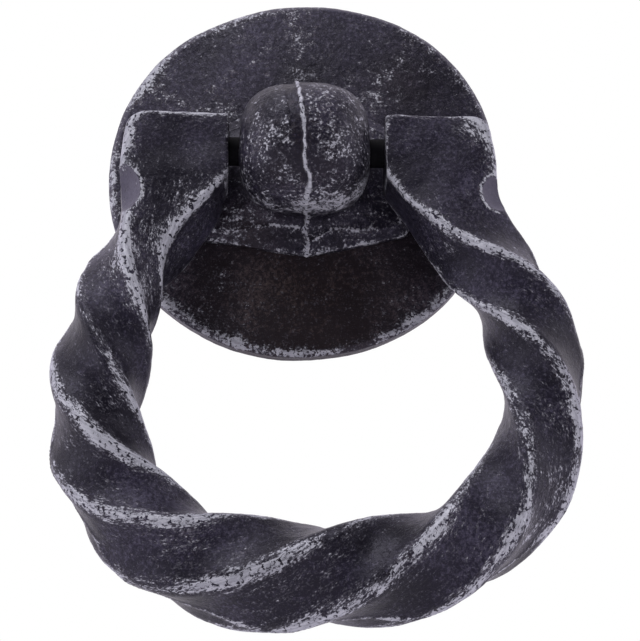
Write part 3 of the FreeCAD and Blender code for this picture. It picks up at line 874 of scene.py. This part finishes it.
def build_twist_tree():
    """Turns each section of a bar about the bar's own centre line."""
    tree, inputs, outputs = new_geometry_tree(
        "twist the bar", {"Full Twist": FULL_TWIST, "Heart Depth": 0.0})
    heart = add_node(tree, "ShaderNodeCombineXYZ", {
        "X": named_float(tree, "heart_x"), "Y": inputs["Heart Depth"], "Z": named_float(tree, "heart_z")})
    outward = add_node(tree, "ShaderNodeCombineXYZ", {
        "X": named_float(tree, "outward_x"), "Z": named_float(tree, "outward_z")})
    forward = add_node(tree, "ShaderNodeCombineXYZ", {"Y": -1.0})
    axis = add_node(tree, "ShaderNodeVectorMath", {0: outward.outputs[0], 1: forward.outputs[0]},
                    operation="CROSS_PRODUCT")
    turn = math_node(tree, "RADIANS", inputs["Full Twist"])
    angle = math_node(tree, "MULTIPLY", turn, named_float(tree, "turned"))
    place = add_node(tree, "GeometryNodeInputPosition")
    rotated = add_node(tree, "ShaderNodeVectorRotate", {
        "Vector": place.outputs[0], "Center": heart.outputs[0], "Axis": axis.outputs[0],
        "Angle": angle}, rotation_type="AXIS_ANGLE")
    move_points(tree, inputs, outputs, Position=rotated.outputs[0])
    return tree


def build_forge_tree():
    """Hammer dents, and a raised line left where two halves of a mould or die met."""
    tree, inputs, outputs = new_geometry_tree(
        "forge marks", {"Dent Depth": 0.0003, "Dent Size": 0.008, "Grain Depth": 0.00005,
                        "Grain Size": 0.001, "Seam Height": 0.0, "Seed": 1.0})
    add, times, minus, _ = arithmetic(tree)
    place = add_node(tree, "GeometryNodeInputPosition").outputs[0]
    normal = add_node(tree, "GeometryNodeInputNormal").outputs[0]

    def wave(size, depth, detail):
        scale = math_node(tree, "DIVIDE", 1.0, size)
        noise = add_node(tree, "ShaderNodeTexNoise", {
            "Vector": place, "W": inputs["Seed"], "Scale": scale, "Detail": detail},
            noise_dimensions="4D")
        return times(minus(noise.outputs["Fac"], 0.62), depth)

    dents = wave(inputs["Dent Size"], inputs["Dent Depth"], 1.0)
    grain = wave(inputs["Grain Size"], inputs["Grain Depth"], 2.0)
    seam = times(named_float(tree, "seam"), inputs["Seam Height"])
    total = add(add(dents, grain), seam)
    offset = add_node(tree, "ShaderNodeVectorMath", {0: normal, "Scale": total}, operation="SCALE")
    move_points(tree, inputs, outputs, Offset=offset.outputs[0])
    return tree


def build_thread_tree():
    """Cuts a screw thread into a plain rod that lies along Y."""
    tree, inputs, outputs = new_geometry_tree(
        "cut thread", {"Pitch": 0.001, "Depth": 0.0005, "Rod Radius": 0.003})
    add, times, minus, _ = arithmetic(tree)
    place = add_node(tree, "GeometryNodeInputPosition").outputs[0]
    parts = add_node(tree, "ShaderNodeSeparateXYZ", {"Vector": place}).outputs
    along = math_node(tree, "DIVIDE", parts["Y"], inputs["Pitch"])
    phase = math_node(tree, "FRACT", add(along, named_float(tree, "turn")))
    flank = math_node(tree, "ABSOLUTE", math_node(tree, "MULTIPLY_ADD", phase, 2.0, -1.0))
    groove = math_node(tree, "MULTIPLY_ADD", flank, 1.25, -0.125, clamp=True)
    cut = math_node(tree, "DIVIDE", times(groove, inputs["Depth"]), inputs["Rod Radius"])
    left = minus(1.0, cut)
    cut_place = add_node(tree, "ShaderNodeCombineXYZ", {
        "X": times(parts["X"], left), "Y": parts["Y"], "Z": times(parts["Z"], left)})
    move_points(tree, inputs, outputs, Position=cut_place.outputs[0])
    return tree


def apply_trees(thing, steps):
    """Runs Geometry Nodes trees over a piece and keeps the result as its plain mesh."""
    for tree, values in steps:
        modifier = thing.modifiers.new(tree.name, "NODES")
        modifier.node_group = tree
        sockets = {s.name: s.identifier for s in tree.interface.items_tree if s.in_out == "INPUT"}
        for label, value in values.items():
            modifier[sockets[label]] = value
    bpy.context.view_layer.update()
    evaluated = thing.evaluated_get(bpy.context.evaluated_depsgraph_get())
    mesh = bpy.data.meshes.new_from_object(evaluated)
    thing.modifiers.clear()
    rough = thing.data
    thing.data = mesh
    bpy.data.meshes.remove(rough)
    mesh.name = thing.name


# ---------------------------------------------------------------- shader groups
def build_wear_group():
    """Where the black has been rubbed off: bright arrises, a softer haze and flecks beside them."""
    tree, inputs, outputs = new_tree(
        "edge wear", "ShaderNodeTree",
        [("Vector", VECTOR, None), ("Arris", FLOAT, 0.0), ("Rub", FLOAT, 0.0), ("Amount", FLOAT, 1.0),
         ("Unevenness", FLOAT, 2.5), ("Flakes", FLOAT, 1.6), ("Flake Scale", FLOAT, 620.0),
         ("Drag", FLOAT, 0.5)],
        [("Mask", FLOAT), ("Haze", FLOAT), ("Drag", FLOAT)])

    add, times, minus, _ = arithmetic(tree)

    def noise(vector, scale, detail, roughness):
        return minus(noise_node(tree, vector, scale, detail, roughness), 0.5)

    def rises(value, low, high):
        return remap(tree, value, low, high, kind="SMOOTHSTEP")

    place = inputs["Vector"]
    drawn_out = add_node(tree, "ShaderNodeMapping", {"Vector": place, "Scale": (0.30, 1.0, 1.0)})
    scale = inputs["Flake Scale"]
    drag = noise(drawn_out.outputs[0], times(scale, 1.7), 3.0, 0.65)
    slow = noise(place, 105.0, 2.0, 0.6)
    flakes = noise(place, scale, 4.0, 0.75)
    fine = noise(place, times(scale, 3.3), 2.0, 0.6)
    amount = add(inputs["Amount"], times(slow, inputs["Unevenness"]))
    rubbed = add(times(inputs["Arris"], amount), inputs["Rub"])
    rubbed = add(rubbed, times(slow, 0.9))
    chips = add(flakes, fine)
    chips = add(chips, times(drag, inputs["Drag"]))
    level = add(rubbed, times(chips, inputs["Flakes"]))
    mask = rises(level, 0.48, 0.84)
    haze = minus(rises(level, 0.20, 0.66), mask, clamp=True)
    tree.links.new(mask, outputs["Mask"])
    tree.links.new(haze, outputs["Haze"])
    tree.links.new(rises(drag, -0.16, 0.16), outputs["Drag"])
    return tree


def build_grain_group():
    """The skin of rough iron: bright specks on high points, black pits, slow colour drift."""
    tree, inputs, outputs = new_tree(
        "iron grain", "ShaderNodeTree",
        [("Vector", VECTOR, None), ("Speck Level", FLOAT, 0.66), ("Pit Level", FLOAT, 0.56)],
        [("Specks", FLOAT), ("Pits", FLOAT), ("Drift", FLOAT), ("Dust", FLOAT), ("Height", FLOAT)])

    add, times, minus, _ = arithmetic(tree)

    def noise(scale, detail, roughness=0.6):
        return noise_node(tree, inputs["Vector"], scale, detail, roughness)

    def above(value, level, softness):
        return remap(tree, minus(value, level), 0.0, softness)

    skin_noise = noise(1700.0, 2.0)
    specks = above(skin_noise, inputs["Speck Level"], 0.08)
    pits = above(noise(1150.0, 3.0), inputs["Pit Level"], 0.04)
    rough_skin = noise(2600.0, 3.0)
    height = minus(rough_skin, times(pits, 0.9))
    height = add(height, times(skin_noise, 0.8))
    tree.links.new(specks, outputs["Specks"])
    tree.links.new(pits, outputs["Pits"])
    drift = noise(60.0, 5.0)
    dusty = add(noise(1300.0, 4.0, 0.8), times(drift, 0.6))
    tree.links.new(above(dusty, 0.80, 0.26), outputs["Dust"])
    tree.links.new(drift, outputs["Drift"])
    tree.links.new(height, outputs["Height"])
    return tree


WEAR_GROUP = build_wear_group()
GRAIN_GROUP = build_grain_group()


# ---------------------------------------------------------------- materials
def new_material(name):
    material = bpy.data.materials.new(name)
    material.use_nodes = True
    tree = material.node_tree
    tree.nodes.clear()
    surface = tree.nodes.new("ShaderNodeBsdfPrincipled")
    result = tree.nodes.new("ShaderNodeOutputMaterial")
    tree.links.new(surface.outputs[0], result.inputs["Surface"])
    return material, tree, surface


def mix_colour(tree, factor, first, second):
    made = tree.nodes.new("ShaderNodeMix")
    made.data_type = "RGBA"
    for socket, value in ((made.inputs[0], factor), (made.inputs[6], first), (made.inputs[7], second)):
        if isinstance(value, bpy.types.NodeSocket):
            tree.links.new(value, socket)
        elif socket.type == "RGBA":
            socket.default_value = (*value, 1.0)
        else:
            socket.default_value = value
    return made.outputs[2]


def mix_value(tree, factor, first, second):
    made = add_node(tree, "ShaderNodeMix", {0: factor, 2: first, 3: second})
    return made.outputs[0]


def attribute(tree, label):
    return add_node(tree, "ShaderNodeAttribute", attribute_name=label).outputs["Fac"]


def object_place(tree):
    return add_node(tree, "ShaderNodeTexCoord").outputs["Object"]


def add_bump(tree, surface, height, strength, distance):
    bump = add_node(tree, "ShaderNodeBump", {"Height": height, "Strength": strength, "Distance": distance})
    tree.links.new(bump.outputs[0], surface.inputs["Normal"])


SOOT = (0.0030, 0.0026, 0.0052)
# The pin's near-black, darker than the iron: partly its blackened finish, partly painted shade for the gap
# between the boss and the end blocks.
PIN_SHADE_BLACK = (0.0008, 0.0007, 0.0010)
BLACK = (0.0085, 0.0072, 0.0150)
DUSTY = (0.0520, 0.0470, 0.0750)
WARM_BLACK = (0.0130, 0.0090, 0.0095)
BROWN = (0.0760, 0.0560, 0.0500)
# Lighter purple-grey laid where the sheen attribute is set: a painted sheen.
SHEEN_COLOUR = (0.0740, 0.0680, 0.0960)
GREY = (0.0930, 0.0930, 0.1160)
SILVER = (0.3880, 0.3900, 0.4400)
ZINC_LIGHT = (0.60, 0.62, 0.66)
ZINC_DARK = tuple(0.72 * part for part in ZINC_LIGHT)


def iron_material(name, amount, uneven, flakes, flake_scale, drag, speck_level, pit_level, brown,
                  along_bar=False, strip=False):
    """Black iron rubbed back to silver along its arrises, with pits, specks and brown fringes."""
    material, tree, surface = new_material(name)
    add, times, minus, larger = arithmetic(tree)
    place = object_place(tree)
    wear_place = place
    if along_bar:
        bar = add_node(tree, "ShaderNodeCombineXYZ", {
            "X": attribute(tree, "run"), "Y": attribute(tree, "local_a"),
            "Z": attribute(tree, "local_b")})
        wear_place = add_node(tree, "ShaderNodeMapping", {
            "Vector": bar.outputs[0], "Scale": (0.75, 1.0, 1.0)}).outputs[0]
    arris = larger(attribute(tree, "arris"), attribute(tree, "seam"))
    rubbed = add_node(tree, "ShaderNodeGroup", node_tree=WEAR_GROUP)
    grain = add_node(tree, "ShaderNodeGroup", node_tree=GRAIN_GROUP)
    tree.links.new(wear_place, rubbed.inputs["Vector"])
    tree.links.new(arris, rubbed.inputs["Arris"])
    tree.links.new(attribute(tree, "rub"), rubbed.inputs["Rub"])
    tree.links.new(place, grain.inputs["Vector"])
    for socket, value in (("Amount", amount), ("Unevenness", uneven), ("Flakes", flakes),
                          ("Flake Scale", flake_scale), ("Drag", drag)):
        rubbed.inputs[socket].default_value = value
    grain.inputs["Speck Level"].default_value = speck_level
    grain.inputs["Pit Level"].default_value = pit_level
    mask, haze, dust = rubbed.outputs["Mask"], rubbed.outputs["Haze"], grain.outputs["Dust"]

    drift = remap(tree, grain.outputs["Drift"], 0.36, 0.64)
    black = mix_colour(tree, dust, mix_colour(tree, drift, SOOT, BLACK), DUSTY)
    # Painted sheen: where the sheen attribute is set, the black is lifted to a lighter purple-grey.
    smooth = mix_colour(tree, attribute(tree, "painted_sheen"), black, SHEEN_COLOUR)
    warmth = larger(attribute(tree, "warm"), times(haze, brown))
    browned = mix_colour(tree, warmth, smooth, mix_colour(tree, dust, WARM_BLACK, BROWN))
    kept = minus(1.0, grain.outputs["Pits"])
    if strip:
        kept = times(kept, minus(1.0, attribute(tree, "strip")))
    dragged = rubbed.outputs["Drag"]
    smear = times(haze, add(0.25, times(dragged, 0.45)))
    bare = larger(mask, times(grain.outputs["Specks"], 0.4))
    bare = times(larger(bare, smear), kept)
    tone = add(times(mask, 0.42), times(dragged, times(mask, 0.42)))
    tone = add(tone, times(dust, 0.4), clamp=True)
    colour = mix_colour(tree, bare, browned, mix_colour(tree, tone, GREY, SILVER))
    tree.links.new(colour, surface.inputs["Base Color"])
    tree.links.new(mix_value(tree, bare, 0.0, 0.30), surface.inputs["Metallic"])
    sheen = remap(tree, grain.outputs["Drift"], 0.3, 0.7, 0.34, 0.50)
    tree.links.new(mix_value(tree, bare, sheen, 0.55), surface.inputs["Roughness"])
    surface.inputs["Specular IOR Level"].default_value = 0.20
    surface.inputs["Specular Tint"].default_value = (0.82, 0.78, 1.0, 1.0)
    add_bump(tree, surface, grain.outputs["Height"], 0.6, 0.00010)
    return material


def turned_metal(name, dark, light, brush, tool, cloud, roughness, bump):
    """Turned or plated metal: tool lines in its gloss and bump, and a slightly cloudy colour."""
    material, tree, surface = new_material(name)
    place = object_place(tree)
    drawn_out = add_node(tree, "ShaderNodeMapping", {"Vector": place, "Scale": brush})
    lines = noise_node(tree, drawn_out.outputs[0], *tool)
    clouds = noise_node(tree, place, *cloud)
    tree.links.new(mix_colour(tree, clouds, dark, light), surface.inputs["Base Color"])
    tree.links.new(remap(tree, lines, 0.0, 1.0, *roughness), surface.inputs["Roughness"])
    add_bump(tree, surface, lines, bump, 0.00004)
    return material, surface


def zinc_material(name):
    """Bright zinc plate."""
    material, surface = turned_metal(
        name, ZINC_DARK, ZINC_LIGHT, brush=(1.0, 0.3, 1.0), tool=(900.0, 3.0), cloud=(220.0, 4.0),
        roughness=(0.20, 0.40), bump=0.25)
    surface.inputs["Metallic"].default_value = 1.0
    return material


def shaded_pin_material(name):
    """Blackened turned steel with tool lines round the pin; its colour is taken almost to black, darker
    than the iron, as painted shade for the gap between boss and blocks.
    """
    material, surface = turned_metal(
        name, PIN_SHADE_BLACK, SOOT, brush=(1.0, 0.1, 0.1), tool=(1500.0, 2.0), cloud=(260.0, 4.0),
        roughness=(0.5, 0.75), bump=0.3)
    surface.inputs["Specular IOR Level"].default_value = 0.06
    return material


RING_IRON = iron_material(
    "black iron, rubbed ring", amount=0.92, uneven=2.4, flakes=1.85, flake_scale=760.0, drag=0.45,
    speck_level=0.63, pit_level=0.56, brown=0.5, along_bar=True)
BOSS_IRON = iron_material(
    "black iron, cast boss", amount=1.0, uneven=2.0, flakes=2.4, flake_scale=520.0, drag=0.15,
    speck_level=0.60, pit_level=0.57, brown=0.7, strip=True)
PLATE_IRON = iron_material(
    "black iron, hammered plate", amount=0.75, uneven=2.0, flakes=2.0, flake_scale=640.0, drag=0.3,
    speck_level=0.62, pit_level=0.55, brown=0.8)
PIN_STEEL = shaded_pin_material("black pin with painted shade")
ZINC = zinc_material("bright zinc plate")


# ---------------------------------------------------------------- build the pieces
TWIST = build_twist_tree()
FORGE = build_forge_tree()
THREAD = build_thread_tree()


def rubbed_patches(places, patches):
    """How much each point has been rubbed, from patches of (x, y, z, size, strength)."""
    total = np.zeros(len(places))
    for x, y, z, size, strength in patches:
        away = np.linalg.norm((places - [x, y, z]) / size, axis=1)
        total = np.maximum(total, strength * np.exp(-away ** 2))
    return total


def places_mm(mesh):
    places = np.empty(len(mesh.vertices) * 3)
    mesh.vertices.foreach_get("co", places)
    return places.reshape(-1, 3) / MM


def paint(thing, label, patches, base=0.0):
    """Lays soft patches of an attribute over a piece, such as rubbing or brown warmth."""
    values = base + rubbed_patches(places_mm(thing.data), patches)
    write_layer(thing.data, label, values)


def read_layer(mesh, label):
    values = np.empty(len(mesh.vertices), np.float32)
    mesh.attributes[label].data.foreach_get("value", values)
    return values.astype(float)


def write_layer(mesh, label, values):
    layer = mesh.attributes.get(label) or mesh.attributes.new(label, "FLOAT", "POINT")
    layer.data.foreach_set("value", np.asarray(values, np.float32))


# Two shallow thumb dressings on the outer front corners of the end blocks: centre and radii.
SCOOPS = [
    ((-39.6, PIVOT[1] - 8.2, -13.6), (6.2, 5.8, 6.3)),
    ((40.6, PIVOT[1] - 7.6, -13.0), (5.2, 4.6, 5.2)),
]


def press_scoops(thing):
    """Presses the dressings in, lays a lighter purple-grey over their floors as painted sheen, and keeps
    arris wear off them.
    """
    places = places_mm(thing.data)
    painted_sheen, rim = np.zeros(len(places)), np.zeros(len(places))
    for centre, radii in SCOOPS:
        arm = np.linalg.norm((places - centre) / np.array(radii), axis=1)
        painted_sheen = np.maximum(painted_sheen, smooth_step(1.03, 0.95, arm))
        rim = np.maximum(rim, 0.8 * np.exp(-((arm - 1.06) / 0.05) ** 2))
        places = scoop(places, np.array(centre), np.array(radii))
    thing.data.vertices.foreach_set("co", (places * MM).ravel())
    thing.data.update()
    write_layer(thing.data, "painted_sheen", painted_sheen)
    write_layer(thing.data, "arris", np.maximum(read_layer(thing.data, "arris") * (1 - painted_sheen), rim))


# Where years of handling have thinned the black: (x, y, z, size, strength).
RING_RUB = [
    (-37.5, -23.5, 4.0, 3.2, 0.66), (-37.5, -23.5, 0.0, 3.2, 0.70), (-37.0, -23.5, -4.0, 3.2, 0.70),
    (-36.5, -24.0, -8.0, 3.4, 0.66), (-35.5, -24.0, 1.0, 3.0, 0.40), (-38.0, -22.0, -21.0, 4.5, 0.42),
    (-36.0, -24.0, -29.0, 5.5, 0.66),
    (-33.0, -24.0, -36.0, 5.0, 0.56), (-25.0, -24.0, -16.0, 4.0, 0.46), (-29.0, -24.0, -25.0, 5.5, 0.62),
    (34.0, -24.0, 1.0, 4.5, 0.60), (37.5, -23.0, -5.0, 3.5, 0.50), (24.0, -24.0, 3.5, 4.0, 0.16),
    (17.0, -24.0, -10.0, 3.5, 0.26), (24.0, -24.0, -17.0, 4.5, 0.18),
    (54.5, -20.0, -62.0, 8.0, 0.46), (52.0, -20.0, -76.0, 8.0, 0.62), (50.0, -20.0, -84.0, 5.0, 0.55),
    (44.0, -22.0, -86.0, 7.0, 0.42),
    (-44.0, -20.0, -60.0, 9.0, 0.14), (-28.0, -24.0, -88.0, 9.0, 0.18), (-5.0, -24.0, -96.0, 10.0, 0.26),
    (18.0, -24.0, -93.0, 9.0, 0.12),
]
BOSS_RUB = [
    (-7.0, -29.0, -3.0, 5.0, 0.32), (5.0, -30.0, -4.0, 8.0, 0.36), (6.0, -24.0, -11.0, 7.0, 0.26),
    (-6.0, -25.0, -10.0, 6.0, 0.22), (8.0, -22.0, 7.0, 6.0, 0.18), (-8.0, -22.0, 8.0, 5.0, 0.12),
    (-14.6, -7.0, -14.5, 4.0, 0.36), (-20.0, -6.0, -14.0, 3.0, 0.30), (14.0, -7.0, -14.0, 4.0, 0.16),
]
PLATE_RUB = [
    (-18.0, -4.5, 13.0, 5.0, 0.38), (14.0, -4.5, 17.0, 6.0, 0.38), (0.0, -5.0, 18.0, 8.0, 0.25),
    (-38.0, -3.0, 5.0, 9.0, 0.15), (-22.0, -4.0, -24.0, 7.0, 0.15),
]

# Where brown shows through the black.
BOSS_WARM = [(-12.0, -6.0, -15.0, 7.0, 0.7), (4.0, -26.0, -10.0, 4.0, 0.4), (-5.0, -26.0, -10.0, 4.0, 0.4)]
PLATE_WARM = [(0.0, -4.0, -30.0, 30.0, 1.0), (20.0, -4.0, 22.0, 7.0, 0.3)]

ring = make_ring()
apply_trees(ring, [
    (TWIST, {"Full Twist": FULL_TWIST, "Heart Depth": PIVOT[1] * MM, "Material": RING_IRON}),
    (FORGE, {"Dent Depth": 0.0012, "Dent Size": 0.011, "Grain Depth": 0.00025, "Grain Size": 0.0016,
             "Seam Height": 0.00022, "Seed": 4.0, "Material": RING_IRON}),
])
press_scoops(ring)
paint(ring, "rub", RING_RUB)
boss = make_boss()
apply_trees(boss, [(FORGE, {
    "Dent Depth": 0.0008, "Dent Size": 0.008, "Grain Depth": 0.00035, "Grain Size": 0.0014,
    "Seed": 9.0, "Material": BOSS_IRON})])
paint(boss, "rub", BOSS_RUB, 0.12)
paint(boss, "warm", BOSS_WARM)
backplate = make_backplate()
apply_trees(backplate, [(FORGE, {
    "Dent Depth": 0.0007, "Dent Size": 0.014, "Grain Depth": 0.00022, "Grain Size": 0.0018,
    "Seed": 2.0, "Material": PLATE_IRON})])
paint(backplate, "rub", PLATE_RUB, 0.0)
paint(backplate, "warm", PLATE_WARM)
pin, stud, washer, nut = make_pin(), make_stud(), make_washer(), make_nut()
pin.data.materials.append(PIN_STEEL)
apply_trees(stud, [(THREAD, {
    "Pitch": THREAD_PITCH * MM, "Depth": THREAD_DEPTH * MM, "Rod Radius": STUD_RADIUS * MM,
    "Material": ZINC})])
for fastener in (washer, nut):
    fastener.data.materials.append(ZINC)

for piece, body, node, finish in (
        (ring, "ring", "ring", "ring_iron"), (boss, "fixed", "boss", "boss_iron"),
        (backplate, "fixed", "backplate", "plate_iron"), (pin, "fixed", "pivot_pin", "pin_steel"),
        (stud, "fixed", "fixing_stud", "stud_zinc"), (washer, "fixed", "washer", "washer_zinc"),
        (nut, "fixed", "nut", "nut_zinc")):
    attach(piece, body)
    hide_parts(node)


# ---------------------------------------------------------------- floor, light and camera
FLOOR_HALF = 2.0
FLOOR_LEVEL = -0.30
CAMERA_SENSOR, CAMERA_LENS = 36.0, 133.46
CAMERA_AZIMUTH, CAMERA_ELEVATION = math.radians(-1.85), math.radians(-23.17)
CAMERA_DISTANCE = 0.480
CAMERA_TARGET = (0.00289, -0.015, -0.03876)


def make_floor():
    mesh = bpy.data.meshes.new("floor")
    half, level = FLOOR_HALF, FLOOR_LEVEL
    corners = [(-half, -half, level), (half, -half, level), (half, half, level), (-half, half, level)]
    mesh.from_pydata(corners, [], [(0, 1, 2, 3)])
    floor = bpy.data.objects.new("floor", mesh)
    bpy.context.scene.collection.objects.link(floor)
    material, tree, surface = new_material("pale floor")
    clouds = noise_node(tree, object_place(tree), 12.0, 3.0)
    tree.links.new(mix_colour(tree, clouds, (0.80, 0.80, 0.80), (0.84, 0.84, 0.84)),
                   surface.inputs["Base Color"])
    surface.inputs["Roughness"].default_value = 0.6
    mesh.materials.append(material)


def make_world():
    """White wherever the camera looks; a dimmer studio, dark behind the camera, for light."""
    world = bpy.data.worlds.new("studio")
    bpy.context.scene.world = world
    world.use_nodes = True
    tree = world.node_tree
    tree.nodes.clear()
    direction = add_node(tree, "ShaderNodeTexCoord").outputs["Generated"]
    parts = add_node(tree, "ShaderNodeSeparateXYZ", {"Vector": direction}).outputs
    behind = remap(tree, parts["Y"], -0.70, 0.25, 0.05, 1.45, kind="SMOOTHSTEP")
    lit = add_node(tree, "ShaderNodeBackground", {"Strength": behind})
    lit.inputs["Color"].default_value = (0.97, 0.91, 1.0, 1.0)
    seen = add_node(tree, "ShaderNodeBackground", {"Strength": 1.0})
    seen.inputs["Color"].default_value = (1.0, 1.0, 1.0, 1.0)
    camera_ray = add_node(tree, "ShaderNodeLightPath").outputs["Is Camera Ray"]
    both = add_node(tree, "ShaderNodeMixShader", {0: camera_ray, 1: lit.outputs[0], 2: seen.outputs[0]})
    result = tree.nodes.new("ShaderNodeOutputWorld")
    tree.links.new(both.outputs[0], result.inputs["Surface"])


def make_light(name, place, target, size, power):
    data = bpy.data.lights.new(name, "AREA")
    data.shape, data.size, data.size_y, data.energy = "RECTANGLE", size[0], size[1], power
    lamp = bpy.data.objects.new(name, data)
    bpy.context.scene.collection.objects.link(lamp)
    lamp.location = place
    aim = Vector(target) - Vector(place)
    lamp.rotation_euler = aim.to_track_quat("-Z", "Y").to_euler()


def make_camera():
    data = bpy.data.cameras.new("view")
    data.sensor_width, data.lens = CAMERA_SENSOR, CAMERA_LENS
    data.clip_start, data.clip_end = 0.01, 20.0
    camera = bpy.data.objects.new("view", data)
    bpy.context.scene.collection.objects.link(camera)
    level = math.cos(CAMERA_ELEVATION)
    away = Vector((math.sin(CAMERA_AZIMUTH) * level, -math.cos(CAMERA_AZIMUTH) * level,
                   math.sin(CAMERA_ELEVATION)))
    camera.location = Vector(CAMERA_TARGET) + away * CAMERA_DISTANCE
    camera.rotation_euler = (-away).to_track_quat("-Z", "Y").to_euler()
    bpy.context.scene.camera = camera


make_floor()
make_world()
KNOCKER = (0.0, -0.015, -0.03)
make_light("top softbox", (-0.25, -0.55, 0.75), KNOCKER, (0.6, 0.6), 7.0)
make_light("left softbox", (-0.9, -0.35, 0.05), KNOCKER, (0.5, 0.9), 4.1)
make_light("right softbox", (0.9, -0.45, 0.15), KNOCKER, (0.5, 0.9), 3.2)
make_camera()
bpy.context.scene.view_settings.view_transform = "Standard"
